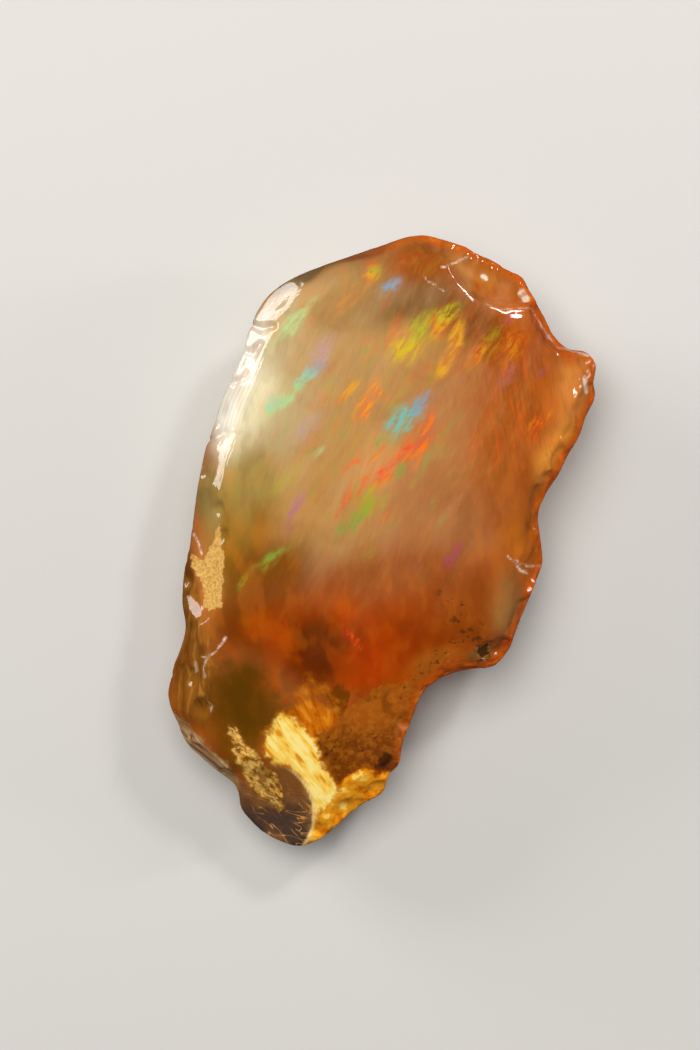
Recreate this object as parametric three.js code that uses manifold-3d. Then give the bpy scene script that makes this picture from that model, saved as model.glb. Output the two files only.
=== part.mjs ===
// A piece of rough precious opal, as it breaks out of the rock: one solid, lying on the flat
// break of its back with its broad, gently domed face up. A closed outline gives its plan, a
// dome that rolls down to that outline gives its face, and every break round it is the hollow
// of a ball, because opal breaks like glass, in shell-shaped hollows that meet in ridges.
// Millimetres. +Z up, +Y along the stone, origin on the resting face under the middle.

import * as THREE from "three";
import { mergeVertices } from "three/addons/utils/BufferGeometryUtils.js";
import Module from "manifold-3d";

const THICKNESS = 14.4; // from the resting face to the top of the dome
const THIN_START = -6; // the stone thins below this line,
const THIN_END = -33; // down to this one,
const THIN_SHARE = 0.3; // by this share of its thickness
const DOME_CENTRE = [-1.5, 1.5];
const DOME_SPREAD = 1.09; // the dome's foot stands outside the outline, which cuts it off
const DOME_GROWTH = 7; // the dome's foot carries each spur this many degrees to both sides,
const DOME_SMOOTHING = 12; // and is averaged over this many degrees to both sides
const DOME_EDGE = 2.6; // edge of a facet of the dome
const BREAK_EDGE = 2.2; // edge of a facet of a large break
const LEAST_SPLITS = 4; // splits of an icosahedron's edge for the smallest chip
const ICOSAHEDRON_EDGE = 1.05; // edge of an icosahedron in a ball of radius 1
const BLANK_SPARE = 1; // the block stands this much higher than the dome
const OUTLINE_STEP = 1.2; // spacing of the points along the outline
const MERGE_DISTANCE = 1e-3; // corners closer than this are one corner
const SLOPE_STEP = 0.4; // distance over which the slope of the face is measured
const DEG = Math.PI / 180;

// How squarely the dome turns down, by azimuth in degrees: 2 is an ellipse, more is squarer.
const DOME_POWER = [
  [0, 3.0], [30, 3.0], [60, 4.2], [98, 4.6], [112, 3.0], [150, 2.7], [172, 3.5],
  [200, 3.5], [225, 3.0], [258, 3.0], [290, 3.8], [310, 3.8], [335, 3.0], [360, 3.0],
];

// The plan of the stone, clockwise from its highest tip.
const OUTLINE = [
  [4.6, 33.3], [6.4, 32.9], [8.8, 32.2], [10.4, 31.3], [12.6, 30.5], [13.8, 29.7], [15.3, 28.8],
  [16.2, 27.0], [17.5, 24.8], [18.6, 22.7], [20.1, 21.1], [22.2, 20.7], [23.3, 19.3],
  [23.1, 17.4], [23.3, 15.8], [22.2, 13.6], [21.5, 11.6], [20.2, 9.4], [19.0, 7.1],
  [17.8, 5.2], [17.0, 3.2], [17.2, 0.8], [17.6, -1.9], [16.7, -4.6], [15.8, -6.8],
  [14.5, -9.9], [13.9, -11.6], [12.3, -13.4], [10.2, -13.7], [8.0, -14.1], [5.4, -15.4],
  [4.1, -17.1], [3.3, -19.3], [2.4, -21.6], [1.9, -24.2], [0.8, -25.4], [0.1, -27.4],
  [-2.4, -28.9], [-4.6, -30.8], [-6.6, -32.4], [-8.8, -33.3], [-11.4, -32.7],
  [-13.6, -31.3], [-15.3, -29.2], [-15.9, -26.7], [-18.8, -24.3], [-21.2, -22.0],
  [-22.2, -19.8], [-23.2, -17.0], [-23.1, -14.6], [-21.9, -11.8], [-21.2, -9.2],
  [-21.6, -6.2], [-21.3, -2.2], [-20.5, 2.0], [-19.9, 6.2], [-19.1, 10.2],
  [-18.2, 12.6], [-17.5, 15.0], [-16.2, 17.8], [-15.0, 20.4], [-14.4, 22.8],
  [-13.0, 25.8], [-10.8, 27.9], [-7.2, 29.6], [-3.2, 31.0], [0.6, 32.3], [2.8, 33.0],
];

// Breaks from the face down to the rim: the ridge where one begins on the face, the point where
// it ends on the rim, and the radius of its hollow.
const FLANKS = [
  { ridge: [-3.7, 29.9], rim: [-4.0, 30.7, 10.9], r: 90 }, // straight bevel along the top left
  { ridge: [5.0, 31.5], rim: [5.3, 33.2, 10.2], r: 6 }, // splintered tip
  { ridge: [7.7, 30.0], rim: [8.7, 32.2, 9.8], r: 7 },
  { ridge: [12.6, 25.2], rim: [14.2, 29.5, 9.2], r: 15 }, // broad chip beside it
  { ridge: [17.0, 23.6], rim: [17.9, 24.2, 10.4], r: 10 },
  { ridge: [21.1, 20.2], rim: [21.2, 20.8, 9.8], r: 6 },
  { ridge: [22.3, 17.5], rim: [23.2, 17.5, 9.2], r: 12 }, // lobe on the right
  { ridge: [21.1, 13.5], rim: [22.2, 13.5, 9.8], r: 12 },
  { ridge: [18.6, 8.3], rim: [19.6, 8.0, 10.4], r: 14 },
  { ridge: [16.2, 2.6], rim: [17.0, 2.5, 10.2], r: 10 },
  { ridge: [14.5, -2.2], rim: [17.2, -3.3, 9.0], r: 6 }, // splintered edge
  { ridge: [14.1, -7.6], rim: [15.4, -8.0, 9.2], r: 14 },
  { ridge: [11.7, -10.6], rim: [13.4, -12.5, 9.0], r: 5 }, // lower right spur
  { ridge: [8.8, -12.8], rim: [9.0, -13.9, 9.9], r: 5.6 }, // bay between the two spurs
  { ridge: [4.2, -15.0], rim: [4.9, -15.9, 10.6], r: 4.5 },
  { ridge: [3.1, -17.8], rim: [3.9, -18.0, 10.2], r: 5.6 },
  { ridge: [1.9, -21.4], rim: [2.7, -21.6, 9.2], r: 6.4 },
  { ridge: [0.4, -23.8], rim: [1.3, -24.8, 8.0], r: 4 },
  { ridge: [-3.6, -19.8], rim: [2.6, -21.0, 8.8], r: 17 }, // frosted break above the lower end
  { ridge: [-4.6, -27.6], rim: [-3.0, -29.7, 6.6], r: 26 }, // amber bevel of the lower end
  { ridge: [-14.9, -27.0], rim: [-15.8, -27.4, 6.6], r: 5 },
  { ridge: [-17.6, -23.6], rim: [-18.5, -24.5, 6.9], r: 20 }, // frosted edge
  { ridge: [-20.3, -20.5], rim: [-21.7, -21.3, 7.2], r: 14 },
  { ridge: [-19.4, -16.0], rim: [-23.2, -16.0, 7.9], r: 11 }, // corner on the left
  { ridge: [-19.4, -11.4], rim: [-21.8, -11.6, 9.9], r: 12 },
  { ridge: [-19.4, -7.0], rim: [-21.5, -7.0, 10.1], r: 18 },
  { ridge: [-16.8, -3.4], rim: [-19.9, -3.4, 10.6], r: 12 }, // sandy shelf, which ends in a wall
  { ridge: [-18.7, -0.4], rim: [-21.0, -0.6, 9.9], r: 8 },
  { ridge: [-17.1, 4.6], rim: [-20.2, 4.2, 9.6], r: 30 }, // flat olive break
  { ridge: [-17.8, 8.9], rim: [-19.4, 9.0, 9.3], r: 5 }, // scallop above it
];

// Shallow shells and small chips, by the place of the middle, half the width, and the depth.
const CHIPS = [
  { at: [-11.2, 26.3], wide: 2.0, deep: 0.18 }, // scallops of the left shoulder
  { at: [-13.3, 23.0], wide: 1.9, deep: 0.16 },
  { at: [-14.4, 19.7], wide: 2.0, deep: 0.2 },
  { at: [-16.4, 14.6], wide: 2.8, deep: 0.16 },
  { at: [-12.6, -29.0], wide: 6.3, deep: 1.3 }, // clear shell of the lower tip
  { at: [5.6, 31.7], wide: 1.1, deep: 0.4 }, // splinters of the tip
  { at: [7.6, 31.2], wide: 1.3, deep: 0.45 },
  { at: [9.6, 30.6], wide: 1.1, deep: 0.35 },
  { at: [11.3, 26.9], wide: 1.6, deep: 0.4 }, // dimples of the broad chip
  { at: [13.6, 27.2], wide: 1.7, deep: 0.45 },
  { at: [15.4, 26.8], wide: 1.3, deep: 0.35 },
  { at: [11.4, 29.2], wide: 1.4, deep: 0.35 },
  { at: [13.6, 29.0], wide: 1.2, deep: 0.35 },
  { at: [16.4, 25.2], wide: 1.0, deep: 0.3 },
  { at: [18.7, 21.9], wide: 1.0, deep: 0.3 },
  { at: [22.2, 19.8], wide: 1.1, deep: 0.35 },
  { at: [22.2, 15.4], wide: 2.2, deep: 0.25 },
  { at: [20.9, 11.9], wide: 1.9, deep: 0.22 },
  { at: [19.2, 9.0], wide: 1.3, deep: 0.22 },
  { at: [17.7, 6.2], wide: 1.7, deep: 0.25 },
  { at: [16.3, 0.9], wide: 1.8, deep: 0.25 },
  { at: [11.2, -11.6], wide: 1.1, deep: 0.6 }, // pits of the lower right spur
  { at: [12.9, -11.2], wide: 0.8, deep: 0.35 },
  { at: [7.2, -13.6], wide: 0.9, deep: 0.3 },
  { at: [2.7, -19.8], wide: 1.0, deep: 0.3 },
  { at: [-0.4, -26.8], wide: 1.1, deep: 0.35 },
  { at: [-3.6, -29.2], wide: 1.1, deep: 0.3 },
  { at: [-6.6, -31.6], wide: 1.0, deep: 0.3 },
  { at: [-13.4, -30.4], wide: 1.2, deep: 0.3 },
  { at: [-16.6, -25.3], wide: 1.0, deep: 0.3 },
  { at: [-21.4, -20.6], wide: 1.0, deep: 0.3 },
  { at: [-20.6, -14.5], wide: 1.1, deep: 0.4 },
  { at: [-19.6, -17.8], wide: 1.3, deep: 0.4 },
  { at: [-19.3, -12.0], wide: 1.1, deep: 0.4 }, // notch in the left ridge
  { at: [-20.4, -9.2], wide: 0.9, deep: 0.3 },
  { at: [-20.9, -4.2], wide: 0.9, deep: 0.3 },
  { at: [-17.0, 0.6], wide: 1.0, deep: 0.4 },
  { at: [-17.5, 3.6], wide: 0.9, deep: 0.3 },
  { at: [-19.2, 7.2], wide: 0.8, deep: 0.3 },
];

// Breaks that undercut the rim: the point on the rim, the foot on the back, and the radius.
const UNDERCUTS = [
  { rim: [-8.4, 29.2, 9.2], foot: [-6.4, 25.0], r: 26 },
  { rim: [3.6, 33.2, 8.8], foot: [2.6, 26.0], r: 20 },
  { rim: [12.4, 30.6, 8.1], foot: [9.4, 26.2], r: 15 },
  { rim: [18.2, 23.5, 7.4], foot: [10.6, 18.6], r: 30 },
  { rim: [23.2, 17.0, 6.7], foot: [17.0, 15.2], r: 15 },
  { rim: [20.4, 9.7, 6.7], foot: [12.4, 12.0], r: 30 },
  { rim: [17.1, 1.8, 7.4], foot: [13.4, 2.2], r: 12 },
  { rim: [15.3, -8.0, 7.4], foot: [9.6, -5.2], r: 20 },
  { rim: [9.2, -13.9, 7.7], foot: [8.8, -10.6], r: 6 },
  { rim: [5.0, -15.9, 7.7], foot: [3.0, -13.2], r: 5 },
  { rim: [3.4, -19.2, 7.0], foot: [-0.2, -18.2], r: 8 },
  { rim: [1.6, -24.5, 5.9], foot: [-3.6, -21.6], r: 12 },
  { rim: [-3.0, -29.4, 4.5], foot: [-5.8, -26.0], r: 20 },
  { rim: [-9.6, -33.2, 3.6], foot: [-10.4, -26.6], r: 26 },
  { rim: [-15.6, -28.4, 4.8], foot: [-12.4, -25.8], r: 9 },
  { rim: [-19.6, -23.7, 5.6], foot: [-15.0, -19.0], r: 19 },
  { rim: [-23.2, -16.0, 7.4], foot: [-18.8, -14.4], r: 11 },
  { rim: [-21.5, -7.2, 8.1], foot: [-16.0, -6.6], r: 20 },
  { rim: [-20.2, 3.4, 8.5], foot: [-17.0, 3.8], r: 14 },
  { rim: [-17.6, 14.6, 9.2], foot: [-12.4, 12.4], r: 24 },
  { rim: [-13.6, 24.6, 9.2], foot: [-10.8, 22.4], r: 12 },
];

// Shallow shells in the back, which leave the resting face between them.
const BACK_SHELLS = [
  { at: [6.0, 21.0], wide: 11.5, deep: 1.4 },
  { at: [-9.5, 17.5], wide: 8.5, deep: 0.8 },
  { at: [9.5, -4.0], wide: 8.0, deep: 0.9 },
  { at: [-9.0, -22.0], wide: 9.5, deep: 1.1 },
];

const wasm = await Module();
wasm.setup();

// A geometry whose faces share their corners.
function joined(geometry) {
  geometry.deleteAttribute("normal");
  geometry.deleteAttribute("uv");
  return mergeVertices(geometry, MERGE_DISTANCE);
}

// A closed, joined geometry as a solid that can be cut.
function solid(geometry) {
  return new wasm.Manifold(
    new wasm.Mesh({
      numProp: 3,
      vertProperties: geometry.getAttribute("position").array,
      triVerts: new Uint32Array(geometry.index.array),
    }),
  );
}

// A solid as a geometry.
function geometryOf(made) {
  const mesh = made.getMesh();
  const position = new Float32Array(mesh.numVert * 3);
  for (let i = 0; i < mesh.numVert; i++) {
    const start = i * mesh.numProp;
    position.set(mesh.vertProperties.subarray(start, start + 3), i * 3);
  }
  const geometry = new THREE.BufferGeometry();
  geometry.setAttribute("position", new THREE.BufferAttribute(position, 3));
  geometry.setIndex(new THREE.BufferAttribute(mesh.triVerts, 1));
  geometry.computeVertexNormals();
  return geometry;
}

// The outline as evenly spaced points of a smooth closed curve.
function outlineRing() {
  const points = OUTLINE.map(([x, y]) => new THREE.Vector3(x, y, 0));
  const curve = new THREE.CatmullRomCurve3(points, true, "catmullrom", 0.5);
  const count = Math.round(curve.getLength() / OUTLINE_STEP);
  return curve.getSpacedPoints(count).slice(0, count);
}

// How far the outline reaches from the dome's centre in a direction, in degrees.
function reachOf(ring, degrees) {
  const direction = [Math.cos(degrees * DEG), Math.sin(degrees * DEG)];
  let reach = 0;
  ring.forEach((a, i) => {
    const b = ring[(i + 1) % ring.length];
    const start = [a.x - DOME_CENTRE[0], a.y - DOME_CENTRE[1]];
    const end = [b.x - DOME_CENTRE[0], b.y - DOME_CENTRE[1]];
    const startSide = direction[0] * start[1] - direction[1] * start[0];
    const endSide = direction[0] * end[1] - direction[1] * end[0];
    if (startSide * endSide > 0) return;
    const t = startSide / (startSide - endSide);
    const x = start[0] + (end[0] - start[0]) * t;
    const y = start[1] + (end[1] - start[1]) * t;
    reach = Math.max(reach, direction[0] * x + direction[1] * y);
  });
  return reach;
}

// The values of a table by whole degrees, from some degrees before one to as many after it.
function around(table, degrees, spread) {
  return Array.from({ length: 2 * spread + 1 }, (_, i) => table[(degrees + i - spread + 360) % 360]);
}

// A table by whole degrees, with each value averaged with its neighbours.
function smoothed(table) {
  return table.map((_, degrees) => {
    const near = around(table, degrees, DOME_SMOOTHING);
    return near.reduce((sum, value) => sum + value) / near.length;
  });
}

// The power of the dome in a direction, in degrees, from the table of powers.
function powerOf(degrees) {
  const i = DOME_POWER.findIndex(([azimuth]) => azimuth > degrees);
  const [fromAzimuth, fromPower] = DOME_POWER[i - 1];
  const [toAzimuth, toPower] = DOME_POWER[i];
  return THREE.MathUtils.mapLinear(degrees, fromAzimuth, toAzimuth, fromPower, toPower);
}

const ring = outlineRing();
const wholeDegrees = Array.from({ length: 360 }, (_, degrees) => degrees);
const outlineReach = wholeDegrees.map((degrees) => reachOf(ring, degrees));
const grownReach = wholeDegrees.map((degrees) => Math.max(...around(outlineReach, degrees, DOME_GROWTH)));
const domeReach = smoothed(grownReach).map((reach) => reach * DOME_SPREAD);
const domePower = smoothed(wholeDegrees.map(powerOf));

// The value of a table by whole degrees at an azimuth between them.
function valueAt(table, azimuth) {
  const whole = Math.floor(azimuth);
  const here = table[whole % 360];
  const next = table[(whole + 1) % 360];
  return here + (next - here) * (azimuth - whole);
}

// The reach of the dome's foot and its power towards an offset from the dome's centre.
function domeShape(x, y) {
  const azimuth = (Math.atan2(y, x) / DEG + 360) % 360;
  return { reach: valueAt(domeReach, azimuth), power: valueAt(domePower, azimuth) };
}

// The share of the full thickness that the stone has at a place along it.
function thickShare(y) {
  return 1 - THIN_SHARE * THREE.MathUtils.smoothstep(-y, -THIN_START, -THIN_END);
}

// The height of the dome over a place.
function domeHeight(x, y) {
  const offset = [x - DOME_CENTRE[0], y - DOME_CENTRE[1]];
  const { reach, power } = domeShape(...offset);
  const rest = Math.max(0, 1 - (Math.hypot(...offset) / reach) ** power);
  return THICKNESS * thickShare(y) * rest ** (1 / power);
}

// The ball of radius r through an inner and an outer point. Its middle lies outside the stone,
// above the line through them when side is 1 and below it when side is -1.
function ballThrough(inner, outer, r, side) {
  const a = new THREE.Vector3(...inner);
  const b = new THREE.Vector3(...outer);
  const run = Math.hypot(b.x - a.x, b.y - a.y);
  const rise = Math.abs(b.z - a.z);
  const outward = new THREE.Vector3(b.x - a.x, b.y - a.y, 0).divideScalar(run);
  const square = outward.multiplyScalar(rise).add(new THREE.Vector3(0, 0, side * run)).normalize();
  const half = a.distanceTo(b) / 2;
  const centre = a.lerp(b, 0.5).addScaledVector(square, Math.sqrt(r * r - half * half));
  return { centre, r };
}

// The height of the face over a place, once the breaks are cut away.
function faceHeight(x, y, breaks) {
  let height = domeHeight(x, y);
  for (const { centre, r } of breaks) {
    const within = r * r - (x - centre.x) ** 2 - (y - centre.y) ** 2;
    if (within > 0) height = Math.min(height, centre.z - Math.sqrt(within));
  }
  return height;
}

// The ball that leaves a shell of a width and depth, square to the surface it is broken from.
function ballOfShell({ wide, deep }, place, normal) {
  const r = (wide * wide + deep * deep) / (2 * deep);
  return { centre: place.addScaledVector(normal, r - deep), r };
}

// The ball of a chip in the face.
function ballOfChip(chip, breaks) {
  const [x, y] = chip.at;
  const height = faceHeight(x, y, breaks);
  const alongX = faceHeight(x + SLOPE_STEP, y, breaks) - faceHeight(x - SLOPE_STEP, y, breaks);
  const alongY = faceHeight(x, y + SLOPE_STEP, breaks) - faceHeight(x, y - SLOPE_STEP, breaks);
  const normal = new THREE.Vector3(-alongX, -alongY, 2 * SLOPE_STEP).normalize();
  return ballOfShell(chip, new THREE.Vector3(x, y, height), normal);
}

// The block that the stone is broken from: the outline, standing on its flat back.
function blank() {
  const plan = new THREE.Shape(ring.map((p) => new THREE.Vector2(p.x, p.y)));
  const depth = THICKNESS + BLANK_SPARE;
  return solid(joined(new THREE.ExtrudeGeometry(plan, { depth, bevelEnabled: false })));
}

// A ball of radius 1 whose facets have about the given edge once it has radius r.
function unitBall(r, edge) {
  const splits = Math.max(LEAST_SPLITS, Math.round((ICOSAHEDRON_EDGE * r) / edge));
  return joined(new THREE.IcosahedronGeometry(1, splits - 1));
}

// The dome of the face: a squared ball, pulled out in every direction to its rounded foot.
function dome() {
  const geometry = unitBall(Math.max(...domeReach), DOME_EDGE);
  const position = geometry.getAttribute("position");
  const p = new THREE.Vector3();
  for (let i = 0; i < position.count; i++) {
    p.fromBufferAttribute(position, i);
    const across = Math.hypot(p.x, p.y);
    const { reach, power } = domeShape(p.x, p.y);
    const level = (across ** power + Math.abs(p.z) ** power) ** (-1 / power);
    const x = p.x * level * reach + DOME_CENTRE[0];
    const y = p.y * level * reach + DOME_CENTRE[1];
    position.setXYZ(i, x, y, p.z * level * THICKNESS * thickShare(y));
  }
  return solid(geometry);
}

// The ball that a break takes out of the stone.
function hollow({ centre, r }) {
  const geometry = unitBall(r, BREAK_EDGE).scale(r, r, r);
  geometry.translate(centre.x, centre.y, centre.z);
  return solid(geometry);
}

const down = new THREE.Vector3(0, 0, -1);
const flankBalls = FLANKS.map(({ ridge, rim, r }) =>
  ballThrough([...ridge, domeHeight(...ridge)], rim, r, 1),
);
const chipBalls = CHIPS.map((chip) => ballOfChip(chip, flankBalls));
const undercutBalls = UNDERCUTS.map(({ rim, foot, r }) => ballThrough([...foot, 0], rim, r, -1));
const backBalls = BACK_SHELLS.map((shell) =>
  ballOfShell(shell, new THREE.Vector3(...shell.at, 0), down),
);

let stone = blank().intersect(dome());
for (const ball of [...flankBalls, ...chipBalls, ...undercutBalls, ...backBalls]) {
  stone = stone.subtract(hollow(ball));
}

const opal = new THREE.Mesh(
  geometryOf(stone),
  new THREE.MeshStandardMaterial({ color: 0xc4762e, roughness: 0.12, metalness: 0 }),
);
opal.name = "opal";

const group = new THREE.Group();
group.add(opal);

export default group;
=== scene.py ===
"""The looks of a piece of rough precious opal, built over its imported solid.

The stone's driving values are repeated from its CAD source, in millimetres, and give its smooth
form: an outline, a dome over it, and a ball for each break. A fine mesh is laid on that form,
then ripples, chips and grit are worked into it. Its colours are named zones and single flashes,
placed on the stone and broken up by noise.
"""

import itertools
import math

import bpy
import numpy as np
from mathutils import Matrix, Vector


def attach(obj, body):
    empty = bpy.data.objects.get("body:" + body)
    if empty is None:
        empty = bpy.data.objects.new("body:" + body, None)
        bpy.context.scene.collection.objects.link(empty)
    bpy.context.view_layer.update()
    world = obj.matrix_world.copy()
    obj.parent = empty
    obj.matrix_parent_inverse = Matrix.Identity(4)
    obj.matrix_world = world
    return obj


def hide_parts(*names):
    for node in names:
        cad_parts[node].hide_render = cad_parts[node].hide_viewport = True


MM = 0.001  # metres in a millimetre

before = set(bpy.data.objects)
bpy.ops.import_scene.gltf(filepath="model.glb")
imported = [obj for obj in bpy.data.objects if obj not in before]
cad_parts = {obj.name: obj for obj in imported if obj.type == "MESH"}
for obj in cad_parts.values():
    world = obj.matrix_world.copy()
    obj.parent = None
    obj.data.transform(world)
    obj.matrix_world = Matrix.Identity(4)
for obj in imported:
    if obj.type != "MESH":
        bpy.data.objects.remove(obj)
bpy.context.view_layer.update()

# ---- the stone's form, as in its CAD source ----

THICKNESS = 14.4  # from the resting face to the top of the dome
THIN_START = -6  # the stone thins below this line,
THIN_END = -33  # down to this one,
THIN_SHARE = 0.3  # by this share of its thickness
DOME_CENTRE = (-1.5, 1.5)
DOME_SPREAD = 1.09  # the dome's foot stands outside the outline, which cuts it off
DOME_GROWTH = 7  # the dome's foot carries each spur this many degrees to both sides,
DOME_SMOOTHING = 12  # and is averaged over this many degrees to both sides
SLOPE_STEP = 0.4  # distance over which the slope of the face is measured
CURVE_STEPS = 8  # points on each stretch of the outline

# The dome's power by direction in degrees: the higher, the boxier.
DOME_POWER = [
    (0, 3), (30, 3), (60, 4.2), (98, 4.6), (112, 3), (150, 2.7), (172, 3.5),
    (200, 3.5), (225, 3), (258, 3), (290, 3.8), (310, 3.8), (335, 3), (360, 3),
]

# Points on the rim, clockwise from the top.
OUTLINE = [
    (4.6, 33.3), (6.4, 32.9), (8.8, 32.2), (10.4, 31.3), (12.6, 30.5), (13.8, 29.7), (15.3, 28.8),
    (16.2, 27), (17.5, 24.8), (18.6, 22.7), (20.1, 21.1), (22.2, 20.7), (23.3, 19.3),
    (23.1, 17.4), (23.3, 15.8), (22.2, 13.6), (21.5, 11.6), (20.2, 9.4), (19, 7.1),
    (17.8, 5.2), (17, 3.2), (17.2, 0.8), (17.6, -1.9), (16.7, -4.6), (15.8, -6.8),
    (14.5, -9.9), (13.9, -11.6), (12.3, -13.4), (10.2, -13.7), (8, -14.1), (5.4, -15.4),
    (4.1, -17.1), (3.3, -19.3), (2.4, -21.6), (1.9, -24.2), (0.8, -25.4), (0.1, -27.4),
    (-2.4, -28.9), (-4.6, -30.8), (-6.6, -32.4), (-8.8, -33.3), (-11.4, -32.7),
    (-13.6, -31.3), (-15.3, -29.2), (-15.9, -26.7), (-18.8, -24.3), (-21.2, -22),
    (-22.2, -19.8), (-23.2, -17), (-23.1, -14.6), (-21.9, -11.8), (-21.2, -9.2),
    (-21.6, -6.2), (-21.3, -2.2), (-20.5, 2), (-19.9, 6.2), (-19.1, 10.2),
    (-18.2, 12.6), (-17.5, 15), (-16.2, 17.8), (-15, 20.4), (-14.4, 22.8),
    (-13, 25.8), (-10.8, 27.9), (-7.2, 29.6), (-3.2, 31), (0.6, 32.3), (2.8, 33),
]

# Breaks from the face to the rim: the ridge, the point on the rim, and the radius.
FLANKS = [
    ((-3.7, 29.9), (-4, 30.7, 10.9), 90), ((5, 31.5), (5.3, 33.2, 10.2), 6),
    ((7.7, 30), (8.7, 32.2, 9.8), 7), ((12.6, 25.2), (14.2, 29.5, 9.2), 15),
    ((17, 23.6), (17.9, 24.2, 10.4), 10), ((21.1, 20.2), (21.2, 20.8, 9.8), 6),
    ((22.3, 17.5), (23.2, 17.5, 9.2), 12), ((21.1, 13.5), (22.2, 13.5, 9.8), 12),
    ((18.6, 8.3), (19.6, 8, 10.4), 14), ((16.2, 2.6), (17, 2.5, 10.2), 10),
    ((14.5, -2.2), (17.2, -3.3, 9), 6), ((14.1, -7.6), (15.4, -8, 9.2), 14),
    ((11.7, -10.6), (13.4, -12.5, 9), 5), ((8.8, -12.8), (9, -13.9, 9.9), 5.6),
    ((4.2, -15), (4.9, -15.9, 10.6), 4.5), ((3.1, -17.8), (3.9, -18, 10.2), 5.6),
    ((1.9, -21.4), (2.7, -21.6, 9.2), 6.4), ((0.4, -23.8), (1.3, -24.8, 8), 4),
    ((-3.6, -19.8), (2.6, -21, 8.8), 17), ((-4.6, -27.6), (-3, -29.7, 6.6), 26),
    ((-14.9, -27), (-15.8, -27.4, 6.6), 5), ((-17.6, -23.6), (-18.5, -24.5, 6.9), 20),
    ((-20.3, -20.5), (-21.7, -21.3, 7.2), 14), ((-19.4, -16), (-23.2, -16, 7.9), 11),
    ((-19.4, -11.4), (-21.8, -11.6, 9.9), 12), ((-19.4, -7), (-21.5, -7, 10.1), 18),
    ((-16.8, -3.4), (-19.9, -3.4, 10.6), 12), ((-18.7, -0.4), (-21, -0.6, 9.9), 8),
    ((-17.1, 4.6), (-20.2, 4.2, 9.6), 30), ((-17.8, 8.9), (-19.4, 9, 9.3), 5),
]

# Shells and chips in the face: the middle, half the width, and the depth.
CHIPS = [
    ((-11.2, 26.3), 2, 0.18), ((-13.3, 23), 1.9, 0.16), ((-14.4, 19.7), 2, 0.2),
    ((-16.4, 14.6), 2.8, 0.16), ((-12.6, -29), 6.3, 1.3), ((5.6, 31.7), 1.1, 0.4),
    ((7.6, 31.2), 1.3, 0.45), ((9.6, 30.6), 1.1, 0.35), ((11.3, 26.9), 1.6, 0.4),
    ((13.6, 27.2), 1.7, 0.45), ((15.4, 26.8), 1.3, 0.35), ((11.4, 29.2), 1.4, 0.35),
    ((13.6, 29), 1.2, 0.35), ((16.4, 25.2), 1, 0.3), ((18.7, 21.9), 1, 0.3),
    ((22.2, 19.8), 1.1, 0.35), ((22.2, 15.4), 2.2, 0.25), ((20.9, 11.9), 1.9, 0.22),
    ((19.2, 9), 1.3, 0.22), ((17.7, 6.2), 1.7, 0.25), ((16.3, 0.9), 1.8, 0.25),
    ((11.2, -11.6), 1.1, 0.6), ((12.9, -11.2), 0.8, 0.35), ((7.2, -13.6), 0.9, 0.3),
    ((2.7, -19.8), 1, 0.3), ((-0.4, -26.8), 1.1, 0.35), ((-3.6, -29.2), 1.1, 0.3),
    ((-6.6, -31.6), 1, 0.3), ((-13.4, -30.4), 1.2, 0.3), ((-16.6, -25.3), 1, 0.3),
    ((-21.4, -20.6), 1, 0.3), ((-20.6, -14.5), 1.1, 0.4), ((-19.6, -17.8), 1.3, 0.4),
    ((-19.3, -12), 1.1, 0.4), ((-20.4, -9.2), 0.9, 0.3), ((-20.9, -4.2), 0.9, 0.3),
    ((-17, 0.6), 1, 0.4), ((-17.5, 3.6), 0.9, 0.3), ((-19.2, 7.2), 0.8, 0.3),
]

# Breaks that undercut the rim: the point on the rim, the foot on the back, and the radius.
UNDERCUTS = [
    ((-8.4, 29.2, 9.2), (-6.4, 25), 26), ((3.6, 33.2, 8.8), (2.6, 26), 20),
    ((12.4, 30.6, 8.1), (9.4, 26.2), 15), ((18.2, 23.5, 7.4), (10.6, 18.6), 30),
    ((23.2, 17, 6.7), (17, 15.2), 15), ((20.4, 9.7, 6.7), (12.4, 12), 30),
    ((17.1, 1.8, 7.4), (13.4, 2.2), 12), ((15.3, -8, 7.4), (9.6, -5.2), 20),
    ((9.2, -13.9, 7.7), (8.8, -10.6), 6), ((5, -15.9, 7.7), (3, -13.2), 5),
    ((3.4, -19.2, 7), (-0.2, -18.2), 8), ((1.6, -24.5, 5.9), (-3.6, -21.6), 12),
    ((-3, -29.4, 4.5), (-5.8, -26), 20), ((-9.6, -33.2, 3.6), (-10.4, -26.6), 26),
    ((-15.6, -28.4, 4.8), (-12.4, -25.8), 9), ((-19.6, -23.7, 5.6), (-15, -19), 19),
    ((-23.2, -16, 7.4), (-18.8, -14.4), 11), ((-21.5, -7.2, 8.1), (-16, -6.6), 20),
    ((-20.2, 3.4, 8.5), (-17, 3.8), 14), ((-17.6, 14.6, 9.2), (-12.4, 12.4), 24),
    ((-13.6, 24.6, 9.2), (-10.8, 22.4), 12),
]

# Shells in the back: the middle, half the width, and the depth.
BACK_SHELLS = [
    ((6, 21), 11.5, 1.4), ((-9.5, 17.5), 8.5, 0.8), ((9.5, -4), 8, 0.9),
    ((-9, -22), 9.5, 1.1),
]

# ---- the fine mesh and its relief ----

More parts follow.
